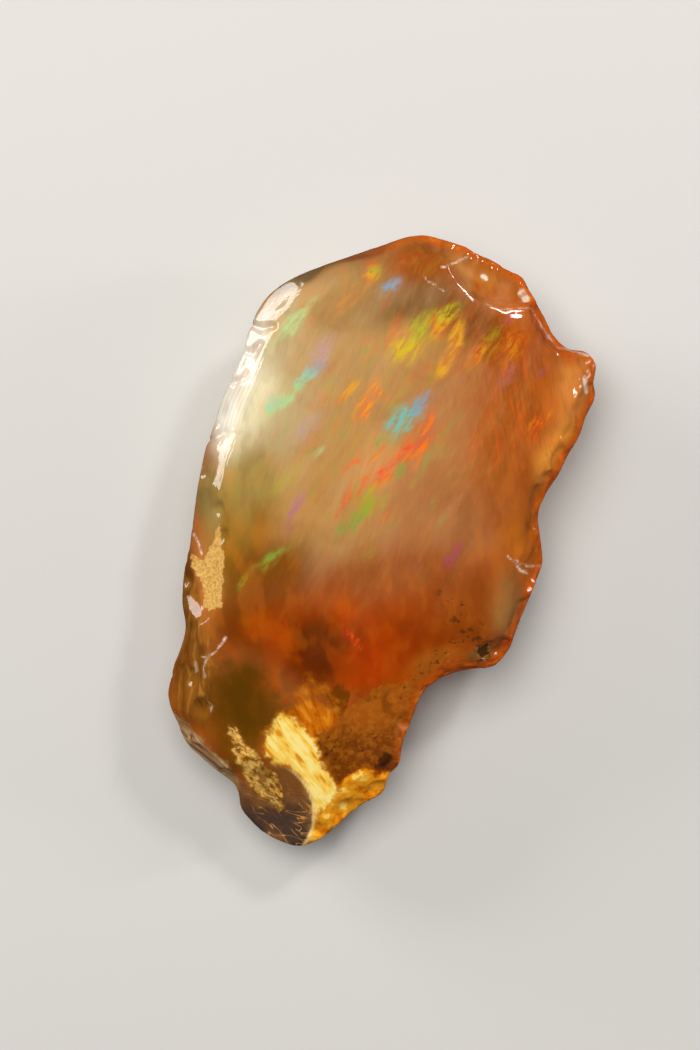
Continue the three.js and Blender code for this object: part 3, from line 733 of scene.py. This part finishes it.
def relief(points):
    """How far each point of the form is lifted, in millimetres."""
    _, _, nearest, lead = form_distance(points)
    broken = nearest >= FIRST_BREAK
    struck = STRUCK[np.maximum(nearest - FIRST_BREAK, 0)]
    above_foot = points[:, 2] > 1
    travel = np.linalg.norm(points - struck, axis=1) + 0.5 * clouds(points, 3, 11)
    ripple = np.sin(travel * 2 * math.pi / RIPPLE_SPACING)
    ripple *= smoothstep(clouds(points, 4, 12), -0.3, 0.5)
    on_face = smoothstep(points[:, 2], 6.5, 9) * ~broken
    lift = FACE_LIFT * clouds(points, 6, 13, 2) * on_face
    lift += RIPPLE_LIFT * ripple * broken
    lift += SHELL_LIFT * clouds(points, 1.2, 14) * broken
    bitten = smoothstep(np.abs(clouds(points, 2.4, 15)), 0, 0.55)
    least, more = BITE_DEPTH
    deep = least + more * smoothstep(points[:, 0] - 0.3 * points[:, 1], -2, 6)
    deep *= 1 - 0.75 * smoothstep(-outline_distance(points), *BITE_REACH)
    lift -= deep * bitten * smoothstep(-lead, -0.6, -0.05) * above_foot
    lift *= 1 - 0.75 * oval(points[:, :2], *SMOOTH_SHOULDER)
    step = line_distance(warped(points, 1.4, 0.4, 41), STEPS)
    return lift - STEP_DEPTH * smoothstep(-step, -0.5, 0.05) * above_foot


def lift_points(mesh):
    """Works the relief into the mesh."""
    points = read_points(mesh)
    lift = np.concatenate([relief(part) for part in batches(points)])
    lift *= smoothstep(points[:, 2], 0.05, 0.6)
    write_points(mesh, points + read_normals(mesh) * lift[:, None])


# ---- colours at the points ----


def linear(colour):
    """A seen colour, from 0 to 255, as light."""
    share = np.array(colour, float) / 255
    return np.where(share <= 0.04045, share / 12.92, ((share + 0.055) / 1.055) ** 2.4)


def oval(places, middle, half_length, half_width, degrees):
    """1 in the middle of an oval, fading smoothly to 0 outside it."""
    turn = math.radians(degrees)
    offset = places - middle
    along = offset @ (math.cos(turn), math.sin(turn)) / half_length
    across = offset @ (-math.sin(turn), math.cos(turn)) / half_width
    return np.exp(-along * along - across * across)


def line_distance(places, lines):
    """Distance from each place to the nearest of some lines, less the line's half width."""
    nearest = np.full(len(places), np.inf)
    for half_width, line in lines:
        for start, end in itertools.pairwise(np.array(line, float)):
            nearest = np.minimum(nearest, from_segment(places, start, end) - half_width)
    return nearest


def over(under, colour, share):
    """A colour painted over others, by a share for each point."""
    return under + (linear(colour) - under) * share[:, None]


def warped(points, size, much, seed):
    """The points' places from above, pushed about by noise."""
    push = np.stack([clouds(points, size, seed), clouds(points, size, seed + 7)], axis=1)
    return points[:, :2] + much * push


def body_colours(points):
    """The colour of the stone's body at each point, with a painted white highlight on the left
    shoulder and a painted orange glow along the thin rim.
    """
    places = warped(points, 5.0, 0.9, 21)
    colours = np.tile(linear(BODY), (len(points), 1))
    for colour, middle, half_length, half_width, degrees, strength in ZONES:
        share = oval(places, middle, half_length, half_width, degrees)
        colours = over(colours, colour, strength * smoothstep(share, 0.05, 0.8))
    # painted light: the thin rim on the right glows lighter orange, as where light comes through
    rim = smoothstep(outline_distance(points), -1.3, -0.1) * smoothstep(points[:, 0], *LIT_SIDE)
    return over(colours, LIT_RIM, 0.6 * rim)


def flash_colours(points):
    """The colour of the flashes at each point, with their strength as a fourth number."""
    places = warped(points, 1.5, 0.6, 31)
    colours = np.zeros((len(points), 3))
    strengths = np.zeros(len(points))
    for colour, start, end, width, strength in FLASHES:
        start, end = np.array(start), np.array(end)
        run = end - start
        half = np.hypot(*run) / 2 + width / 2
        degrees = math.degrees(math.atan2(run[1], run[0]))
        share = oval(places, (start + end) / 2, half * 1.1, width * 0.95, degrees)
        share = strength * smoothstep(share, 0.0, 1.1)
        colours = over(colours, colour, share / np.maximum(share + strengths * (1 - share), SMALL))
        strengths = share + strengths * (1 - share)
    return np.column_stack([colours, strengths])


def clear_shares(points):
    """How clear the stone is at each point, and how far each is in the clear shell of the tip."""
    places = points[:, :2]
    from_middle = np.hypot(*(places - SHELL_MIDDLE).T)
    shell = smoothstep(SHELL_RADIUS - from_middle, -0.15, 0.25)
    shell *= smoothstep(places @ SHELL_FALL, *SHELL_FADE)
    rim = smoothstep(outline_distance(points), -3, -0.2)
    clear = 0.22 + 0.3 * rim - 0.12 * oval(places, *MILKY)
    clear += 0.12 * oval(places, *CLEARER)
    clear -= 0.45 * oval(places, *MURKY_FLANK)
    return np.clip(np.maximum(clear, 0.5 * shell), 0, 1), shell


def paint(mesh):
    """Keeps the stone's colours and masks at the points of its mesh."""
    points = read_points(mesh)
    places = points[:, :2]
    clear, shell = clear_shares(points)
    off_arc = np.abs(np.hypot(*(places - SHELL_MIDDLE).T) - SHELL_RADIUS)
    values = {
        "clear": clear,
        "shell": shell,
        "edge": -outline_distance(points),
        "low": smoothstep(-points[:, 1], 25, 30.5),
        "orange": smoothstep(points[:, 0], *LIT_SIDE),
        "upper": smoothstep(read_normals(mesh)[:, 2], -0.25, 0.05),
        "deep": smoothstep(oval(places, *DEEP_RED), 0.15, 0.7),
        "specks": smoothstep(sum(oval(places, *spot) for spot in SPECKS), 0.1, 0.6),
        "arc": smoothstep(-off_arc, -0.24, -0.04) * smoothstep(points[:, 0], -11, -8.6),
        "crack_and_glint": np.minimum(line_distance(places, CRACKS_AND_GLINTS), PATCH_REACH),
        "body": np.column_stack([body_colours(points), np.ones(len(points))]),
        "flash": flash_colours(points),
    }
    for name, region in KEPT_REGIONS.items():
        values[name] = oval(places, *region)
    for name, (*_, corners) in PATCHES.items():
        inside = -ring_distance(places, np.array(corners, float))
        values[name] = np.maximum(inside, -PATCH_REACH)
    for name, numbers in values.items():
        keep(mesh, name, numbers)


# ---- building nodes ----

OPAL = bpy.data.materials.new("opal")
OPAL.use_nodes = True
TREE = OPAL.node_tree
TREE.nodes.clear()


def shade(colour):
    """A seen colour as a node's colour."""
    return (*linear(colour), 1)


def feed(socket, value):
    """Links a socket to another, or gives it a value; three numbers for a colour are a seen one."""
    if isinstance(value, bpy.types.NodeSocket):
        TREE.links.new(value, socket)
    elif socket.type == "RGBA" and len(value) == 3:
        socket.default_value = shade(value)
    else:
        socket.default_value = value


def add(kind, inputs=None, **settings):
    """A node of a kind, with its settings made and its inputs fed."""
    made = TREE.nodes.new("ShaderNode" + kind)
    for name, value in settings.items():
        setattr(made, name, value)
    for name, value in (inputs or {}).items():
        feed(made.inputs[name], value)
    return made


def sums(operation, *values):
    """The result of a sum on numbers or sockets."""
    return add("Math", dict(enumerate(values)), operation=operation).outputs[0]


def times(*shares):
    """The product of shares."""
    product = shares[0]
    for share in shares[1:]:
        product = sums("MULTIPLY", product, share)
    return product


def ramp(value, low, high, to_low=0, to_high=1):
    """A smooth rise from to_low to to_high as a value goes from low to high."""
    inputs = dict(enumerate((value, low, high, to_low, to_high)))
    return add("MapRange", inputs, interpolation_type="SMOOTHSTEP").outputs[0]


def blend(share, under, top):
    """A colour laid over another by a share."""
    return add("Mix", {0: share, 6: under, 7: top}, data_type="RGBA").outputs[2]


def laid(colour, top, *shares):
    """A colour with another laid over it, by the product of some shares."""
    return blend(times(*shares), colour, top)


def tones(noise, colour, *rises):
    """A colour that gives way to others as noise rises: low, high, the next colour."""
    for low, high, top in rises:
        colour = blend(ramp(noise, low, high), colour, top)
    return colour


def kept(name, output="Fac"):
    """What the mesh keeps under a name."""
    return add("Attribute", attribute_name=name).outputs[output]


def noise(coordinates, scale, detail, roughness, twist):
    """Noise over some coordinates, around a half."""
    inputs = {
        "Vector": coordinates, "Scale": scale, "Detail": detail, "Roughness": roughness,
        "Distortion": twist,
    }
    return add("TexNoise", inputs).outputs["Fac"]


METRES = add("TexCoord").outputs["Object"]
PLACE = add("VectorMath", {0: METRES, "Scale": 1 / MM}, operation="SCALE").outputs[0]


def grain(scale, detail=3, roughness=0.55, twist=0):
    """Even noise all over the stone."""
    return noise(PLACE, scale, detail, roughness, twist)


def drawn(degrees, along, across, detail=2, roughness=0.5, twist=0):
    """Noise drawn out in a direction on the face, with the length and width of its streaks."""
    inputs = {"Vector": PLACE, "Axis": (0, 0, 1), "Angle": -math.radians(degrees)}
    turned = add("VectorRotate", inputs).outputs[0]
    inputs = {0: turned, 1: (1 / along, 1 / across, 1 / across)}
    place = add("VectorMath", inputs, operation="MULTIPLY").outputs[0]
    return noise(place, 1, detail, roughness, twist)


def threads(lines, middle, width):
    """Thin lines where noise passes through a value."""
    return ramp(sums("ABSOLUTE", sums("SUBTRACT", lines, middle)), width, 0)


def patch_mask(name):
    """1 inside a patch of the face, with a ragged edge."""
    ragged, soft, size, _ = PATCHES[name]
    push = times(sums("SUBTRACT", grain(1 / size, 4, 0.6), 0.5), 2 * ragged)
    inside = ramp(sums("ADD", kept(name), push), -soft, soft)
    return times(inside, kept("upper"))


# ---- the stone's looks, from the body outwards ----


def milky_body():
    """The body colour with milky wisps, fine streaks and hairs in the play of colour, clouds and
    mottling in the clearer rest, and pale ripple lines painted as highlight on the shoulder."""
    play = ramp(kept("play"), 0, 0.4)
    clearer = ramp(kept("play"), 0.55, 0.1)
    wisp = drawn(60, 8, 3.6, 2, 0.45, 0.35)
    streak = drawn(58, 5, 0.7, 1, 0.5, 0.4)
    hair = drawn(74, 2.2, 0.3, 2, 0.6, 0.6)
    mottle = drawn(92, 3.6, 1.9, 2, 0.45, 0.2)
    fibre = drawn(98, 2.6, 0.4, 3, 0.6, 0.4)
    ripple = sums("SINE", times(kept("edge"), RIPPLE_LINES))
    right = kept("right")
    colour = kept("body", "Color")
    for top, pattern, low, high, most, region in (
        ((234, 190, 142), wisp, 0.42, 0.8, 0.17, play),
        ((240, 190, 120), streak, 0.5, 0.8, 0.06, play),
        ((140, 66, 16), streak, 0.5, 0.25, 0.06, play),
        ((120, 58, 10), hair, 0.5, 0.34, 0.07, play),
        ((244, 170, 90), hair, 0.52, 0.68, 0.05, play),
        ((140, 62, 4), grain(0.2, 4, twist=0.5), 0.5, 0.3, 0.2, None),
        ((112, 64, 4), fibre, 0.5, 0.36, 0.3, right),
        ((240, 96, 10), fibre, 0.54, 0.7, 0.4, right),
        # painted highlight: pale ripple lines in the shoulder's white reflection
        ((196, 196, 140), ripple, 0.1, 0.9, 0.4, kept("shoulder")),
        ((110, 44, 2), mottle, 0.5, 0.34, 0.2, clearer),
        ((224, 120, 24), mottle, 0.5, 0.66, 0.18, clearer),
    ):
        share = ramp(pattern, low, high, 0, most)
        colour = laid(colour, top, share, region) if region else laid(colour, top, share)
    return colour


def deep_red(colour, masks):
    """The clearer lower part: orange and dark clouds, two dark olive pockets and flames."""
    deep = kept("deep")
    cloud = drawn(120, 5, 3.4, twist=0.4)
    near_pocket = ramp(kept("olive"), -2.4, -0.2)
    colour = laid(colour, (204, 84, 2), deep, ramp(cloud, 0.48, 0.66, 0, 0.4))
    colour = laid(colour, (92, 40, 0), deep, ramp(cloud, 0.5, 0.36, 0, 0.22))
    colour = laid(colour, (200, 78, 0), near_pocket, ramp(cloud, 0.4, 0.6, 0, 0.8), deep)
    colour = laid(colour, (92, 60, 2), masks["olive"], 0.7)
    colour = laid(colour, (118, 62, 0), masks["diamond"], 0.8)
    fibre = drawn(112, 5, 0.8, twist=0.5)
    flame = tones(fibre, (192, 92, 2), (0.38, 0.52, (226, 124, 8)), (0.54, 0.7, (250, 156, 34)))
    return laid(colour, flame, masks["flames"], 0.9)


def flashes(colour):
    """The play of colour: each flash broken into fibres and cells, with faint tints between."""
    tint_map = add("ValToRGB", {"Fac": drawn(56, 3.2, 1.1, 2, 0.6)})
    stops = tint_map.color_ramp.elements
    for at, tint in ((0.42, GREEN), (0.5, LIME), (0.58, ORANGE), (0.66, RED)):
        stops.new(at).color = shade(tint)
    stops[0].color, stops[-1].color = shade(VIOLET), shade(MAGENTA)
    lit = ramp(drawn(56, 4.6, 1.6, 3, 0.6), 0.44, 0.74)
    colour = laid(colour, tint_map.outputs["Color"], lit, kept("play"), 0.36)

    fibre = drawn(57, 2.8, 0.6, 3, 0.6, 0.9)
    cell = drawn(30, 0.9, 0.42, 2, 0.5, 0.9)
    weave = sums("ADD", times(fibre, 0.62), times(cell, 0.38))
    hue = ramp(fibre, 0.38, 0.62, 0.482, 0.52)
    turned = add("HueSaturation", {"Hue": hue, "Color": kept("flash", "Color")}).outputs[0]
    strength = ramp(kept("flash", "Alpha"), 0, 0.95)
    return laid(colour, turned, strength, ramp(weave, 0.38, 0.62, 0.22, 1))


def flank(colour, masks):
    """Brown streaks along the left flank, and the tan and grey bands of the shelf below it."""
    streak = drawn(84, 7, 0.8, 4, 0.6, 0.3)
    brown = tones(streak, (98, 64, 18), (0.36, 0.52, (142, 92, 26)), (0.54, 0.68, (196, 138, 54)))
    colour = laid(colour, brown, masks["streaks"], 0.6)
    band = drawn(-44, 6, 0.55, 4, 0.6, 0.3)
    tan = tones(band, (124, 96, 88), (0.38, 0.5, (208, 170, 112)), (0.54, 0.64, (255, 224, 166)))
    return laid(colour, tan, masks["shelf"], 0.85)


def frosted(colour, masks):
    """The frosted break: mottled brown, darker downwards, with dark specks, and the clear pit."""
    frost = masks["frost"]
    height = add("SeparateXYZ", {0: PLACE}).outputs["Y"]
    brown = tones(height, (162, 84, 12), (-18.5, -22, (104, 50, 0)))
    brown = laid(brown, (200, 120, 32), ramp(grain(1.3, 5, 0.7), 0.42, 0.64, 0, 0.38))
    brown = laid(brown, (92, 44, 2), ramp(grain(0.45, 4, 0.6), 0.48, 0.34, 0, 0.55))
    colour = laid(colour, brown, frost, 0.88)
    colour = laid(colour, (58, 30, 6), ramp(grain(1.1, 3, 0.8), 0.6, 0.68, 0, 0.8), frost)
    coarse = ramp(grain(1.1, 3, 0.7), 0.54, 0.62, 0, 0.7)
    colour = laid(colour, (74, 46, 14), coarse, kept("specks"))
    colour = laid(colour, (52, 26, 2), masks["notch"], 0.85)
    pit = tones(grain(0.7, 2), (54, 40, 16), (0.44, 0.5, (150, 106, 50)))
    return laid(colour, pit, masks["pit"], 0.9)


def fringed(colour, fringe, inner, mask):
    """A patch laid on, with a duller fringe round its inner part."""
    return laid(laid(colour, fringe, mask), inner, ramp(mask, 0.3, 0.9))


def golden(colour, masks):
    """The amber edge, and the golden patch with long fine fibres running down it, painted pale and
    bright where light comes through it.
    """
    sheen = grain(0.8, 4, 0.6)
    amber = tones(sheen, (200, 104, 2), (0.32, 0.52, (238, 158, 30)), (0.55, 0.66, (255, 212, 96)))
    colour = fringed(colour, (200, 104, 2), amber, masks["amber"])
    broad = drawn(-57, 8, 0.7, twist=0.3)
    fine = drawn(-54, 6, 0.34, twist=0.3)
    fibre = sums("ADD", times(broad, 0.65), times(fine, 0.35))
    # partly painted light: the patch's golden fibres are its own, its pale brightness stands in for
    # light coming through the stone
    gold = tones(fibre, (222, 144, 30), (0.36, 0.48, (252, 206, 84)), (0.48, 0.6, (254, 230, 140)))
    return fringed(colour, (216, 134, 22), gold, masks["gold"])


def tip_threads():
    """Golden threads curling through the clear shell of the lower tip."""
    curl = drawn(-48, 9, 1.5, twist=0.5)
    fine = drawn(-12, 7, 1.4, twist=0.5)
    lines = sums("MAXIMUM", threads(curl, 0.5, 0.018), threads(fine, 0.46, 0.014))
    patchy = ramp(grain(0.3, 2), 0.4, 0.54, 0.1, 1)
    return times(lines, patchy, kept("shell"), ramp(kept("low"), 0, 1, 0.1, 1))


def clear_tip(colour, thread):
    """The smoky clear shell of the lower tip, with golden threads in it and a painted highlight
    along its edge.
    """
    smoky = blend(kept("low"), (176, 112, 48), (72, 66, 60))
    smoky = laid(smoky, (176, 122, 66), ramp(grain(0.35, 3, 0.5), 0.44, 0.64, 0, 0.6))
    colour = laid(colour, smoky, kept("shell"), 0.9)
    colour = laid(colour, (226, 156, 70), thread, 0.7)
    # painted highlight: a pale arc along the shell's right edge
    return laid(colour, (255, 222, 150), kept("arc"), 0.8)


def crinkled(colour, mask):
    """The crinkled golden band beside the clear shell: bright folds over dark brown."""
    facet = drawn(-62, 1.3, 0.6, 2, 0.6, 0.3)
    fold = drawn(-30, 1.6, 0.7, twist=0.5)
    foil = tones(facet, (140, 86, 22), (0.38, 0.5, (214, 148, 54)), (0.52, 0.62, (250, 202, 106)))
    foil = laid(foil, (255, 224, 140), threads(fold, 0.5, 0.04), 0.6)
    patchy = ramp(grain(0.5), 0.36, 0.5, 0.35, 1)
    colour = laid(colour, (132, 80, 18), mask)
    return laid(colour, foil, ramp(mask, 0.3, 0.9), patchy)


def lit_rim(colour):
    """The thin rim, where light comes through: a painted orange glow, with small painted glints on
    its facets.
    """
    facet = grain(1.3, 3, 0.6)
    rim = times(ramp(kept("edge"), 1.3, 0.2), kept("orange"))
    colour = laid(colour, (236, 110, 16), rim, ramp(facet, 0.36, 0.5, 0.35, 0.8))
    return laid(colour, (255, 176, 76), rim, ramp(facet, 0.54, 0.7, 0, 0.4))


def glints_and_cracks(colour):
    """Pale bruised lines along the cracks, and painted white highlights on chips and ridges, broken
    into dots.
    """
    push = times(sums("SUBTRACT", grain(1.2, 4, 0.7), 0.5), 0.7)
    line = ramp(sums("ADD", kept("crack_and_glint"), push), 0.2, -0.12)
    gaps = ramp(grain(1.1), 0.4, 0.56, 0.3, 0.9)
    return laid(colour, (255, 238, 216), line, gaps, kept("upper"))


def sandy(colour, sand):
    """The patch of sandy rock that still sticks to the stone."""
    rock = tones(grain(3.6, 3, 0.6), (168, 124, 56), (0.34, 0.66, (200, 158, 86)))
    rock = laid(rock, (156, 92, 28), ramp(grain(1.1), 0.56, 0.66, 0, 0.35))
    return laid(colour, rock, sand)


def surface(masks):
    """The slope of the surface: fine ripples near the rim, and the grit of sand and frost."""
    edge = kept("edge")
    wave = sums("SINE", times(sums("ADD", edge, grain(0.5, 2)), RIPPLE_LINES))
    ripple = times(wave, ramp(edge, 5, 1.5), ramp(kept("shoulder"), 0, 1, 1, 3))
    rough = sums(
        "MAXIMUM", ramp(masks["sand"], 0.4, 1, 0, 0.25), ramp(masks["frost"], 0.4, 1, 0, 0.3)
    )
    grit = times(sums("SUBTRACT", grain(5, 4, 0.7), 0.5), rough)
    height = sums("ADD", times(ripple, 0.012), grit)
    inputs = {"Height": height, "Strength": 0.5, "Distance": 0.3 * MM}
    return add("Bump", inputs).outputs[0]


def opal_material():
    """Milky opal: clear and glossy, with flashes, golden fibres, frosted breaks and sand, and with
    painted highlights and a painted glow where light comes through.
    """
    masks = {name: patch_mask(name) for name in PATCHES}
    bright = sums("MAXIMUM", masks["gold"], masks["amber"])
    masks["frost"] = times(masks["frost"], ramp(bright, 0.1, 0.6, 1, 0))
    thread = tip_threads()

    colour = flashes(deep_red(milky_body(), masks))
    colour = frosted(flank(colour, masks), masks)
    colour = clear_tip(golden(colour, masks), thread)
    colour = crinkled(colour, masks["crinkle"])
    colour = glints_and_cracks(lit_rim(colour))
    colour = sandy(colour, masks["sand"])

    see_through = times(
        kept("clear"), ramp(masks["sand"], 0, 0.6, 1, 0), ramp(masks["frost"], 0, 1, 1, 0.5),
        ramp(masks["gold"], 0, 1, 1, 0.2), ramp(thread, 0, 1, 1, 0.2),
        ramp(masks["crinkle"], 0, 1, 1, 0.4), ramp(masks["amber"], 0, 1, 1, 0.15),
    )
    roughness = ramp(masks["frost"], 0, 0.4, 0.06, 0.34)
    roughness = sums("MAXIMUM", roughness, times(masks["sand"], 0.9))
    shader = add("BsdfPrincipled", {
        "Base Color": colour, "Roughness": roughness, "IOR": 1.45, "Specular IOR Level": 0.32,
        "Transmission Weight": see_through, "Normal": surface(masks),
    })
    absorb = add("VolumeAbsorption", {"Color": (0.97, 0.6, 0.14, 1), "Density": 190})
    add("OutputMaterial", {"Surface": shader.outputs[0], "Volume": absorb.outputs[0]})
    return OPAL


# ---- the stage ----

FLOOR_SIZE = 3
FLOOR_GAP = 0.05 * MM  # between the floor and the stone
FLOOR_COLOUR = (194, 192, 189)
LENS = 100
SENSOR = 36
FRAME_HEIGHT = 115.5 * MM  # what the picture covers from top to bottom
FRAME_MIDDLE = (-3.4 * MM, 1.9 * MM)
RIM_HEIGHT = 5 * MM  # where the picture's scale is right


def floor():
    """A pale floor just under the stone, which the stone's gloss doesn't mirror."""
    bpy.ops.mesh.primitive_plane_add(size=FLOOR_SIZE, location=(0, 0, -FLOOR_GAP))
    made = bpy.context.object
    made.name = "floor"
    material = bpy.data.materials.new("floor")
    material.use_nodes = True
    shader = material.node_tree.nodes["Principled BSDF"]
    shader.inputs["Base Color"].default_value = shade(FLOOR_COLOUR)
    shader.inputs["Roughness"].default_value = 0.9
    made.data.materials.append(material)
    made.visible_glossy = False


def softbox(name, azimuth, height, distance, size, watts, mirrored=True):
    """A soft light, by its azimuth and height above the floor in degrees. Where it isn't mirrored,
    no surface shows its reflection."""
    light = bpy.data.lights.new(name, "AREA")
    light.shape = "RECTANGLE"
    light.size, light.size_y = size
    light.energy = watts
    light.color = (1, 0.985, 0.95)
    made = bpy.data.objects.new(name, light)
    bpy.context.scene.collection.objects.link(made)
    turn, up = math.radians(azimuth), math.radians(height)
    direction = (math.cos(up) * math.cos(turn), math.cos(up) * math.sin(turn), math.sin(up))
    made.location = distance * Vector(direction)
    made.visible_glossy = mirrored
    to_stone = Vector((0, 0, 6 * MM)) - made.location
    made.rotation_euler = to_stone.to_track_quat("-Z", "Y").to_euler()


def lights():
    """Soft light from above, a bright softbox low on the left, two small ones on the right, and a
    dim pale room."""
    softbox("above", 120, 72, 0.8, (0.6, 0.6), 6.8, mirrored=False)
    softbox("left", 146, 17, 0.5, (0.24, 0.16), 1.7)
    softbox("upper_right", 52, 40, 0.5, (0.07, 0.07), 0.8)
    softbox("right", 10, 18, 0.5, (0.05, 0.1), 0.6)
    world = bpy.data.worlds.new("room")
    world.use_nodes = True
    back = world.node_tree.nodes["Background"]
    back.inputs["Color"].default_value = (0.9, 0.95, 1, 1)
    back.inputs["Strength"].default_value = 0.05
    bpy.context.scene.world = world


def camera():
    """A long lens straight above the stone."""
    made = bpy.data.objects.new("camera", bpy.data.cameras.new("camera"))
    bpy.context.scene.collection.objects.link(made)
    made.data.lens = LENS
    made.data.sensor_width = SENSOR
    made.data.clip_start, made.data.clip_end = 0.01, 10
    made.location = (*FRAME_MIDDLE, RIM_HEIGHT + FRAME_HEIGHT * LENS / SENSOR)
    bpy.context.scene.camera = made


stone = fine_stone(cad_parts["opal"])
write_points(stone.data, settle(read_points(stone.data), SETTLE_STEPS))
lift_points(stone.data)
paint(stone.data)
stone.data.materials.append(opal_material())
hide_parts("opal")
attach(stone, "root")

floor()
lights()
camera()
bpy.context.scene.view_settings.view_transform = "Standard"
